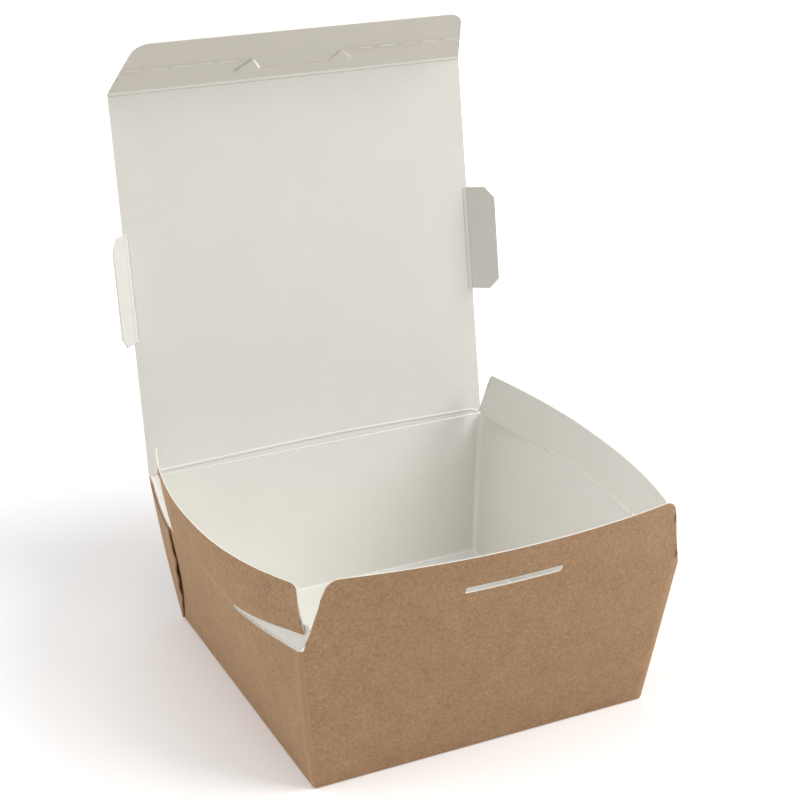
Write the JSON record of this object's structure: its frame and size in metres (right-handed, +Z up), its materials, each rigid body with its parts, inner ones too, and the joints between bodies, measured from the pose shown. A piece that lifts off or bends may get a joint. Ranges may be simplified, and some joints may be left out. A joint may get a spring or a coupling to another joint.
{
  "type": "takeaway box",
  "caption": "Folded kraft board takeaway box with tapered walls, an open hinged lid with a front flap and lock tongue, side flaps and a lock slot.",
  "frame": {"origin": "centre of the base's underside", "axes": "+X to the right along the front wall, +Y from the front wall to the lid's hinge, +Z up"},
  "size_m": [0.1601, 0.1761, 0.2156],
  "materials": {
    "kraft_board": "matt uncoated brown board, white inside",
    "coated_board": "matt coated white board, brown outside"
  },
  "bodies": {
    "tray": {"tray": "kraft_board"},
    "lid": {"lid": "coated_board"},
    "front_strip": {"front_strip": "coated_board"},
    "tuck_strip": {"tuck_strip": "coated_board"},
    "left_ear": {"left_ear": "coated_board"},
    "right_ear": {"right_ear": "coated_board"},
    "left_flap": {"left_flap": "kraft_board"},
    "right_flap": {"right_flap": "coated_board"}
  },
  "joints": [
    {"name": "lid_hinge", "type": "hinge", "parent": "tray", "child": "lid", "pos_m": [0, 0.07224, 0.0565], "axis": [1, 0, 0], "range_deg": [-90, 84]},
    {"name": "front_fold", "type": "hinge", "parent": "lid", "child": "front_strip", "pos_m": [0, 0.09478, 0.19569], "axis": [1, 0, 0], "range_deg": [-47, 58]},
    {"name": "tuck_fold", "type": "hinge", "parent": "front_strip", "child": "tuck_strip", "pos_m": [0, 0.08774, 0.20477], "axis": [1, 0, 0], "range_deg": [0, 90]},
    {"name": "left_ear_fold", "type": "hinge", "parent": "lid", "child": "left_ear", "pos_m": [-0.069, 0.08359, 0.12659], "axis": [0, 0.1599, 0.9871], "range_deg": [-46, 39]},
    {"name": "right_ear_fold", "type": "hinge", "parent": "lid", "child": "right_ear", "pos_m": [0.069, 0.08359, 0.12659], "axis": [0, -0.1599, -0.9871], "range_deg": [-46, 39]},
    {"name": "left_flap_fold", "type": "hinge", "parent": "tray", "child": "left_flap", "pos_m": [-0.07748, 0, 0.058], "axis": [0, 1, 0], "range_deg": [-76, 104]},
    {"name": "right_flap_fold", "type": "hinge", "parent": "tray", "child": "right_flap", "pos_m": [0.07748, 0, 0.058], "axis": [0, -1, 0], "range_deg": [-83, 97]}
  ]
}
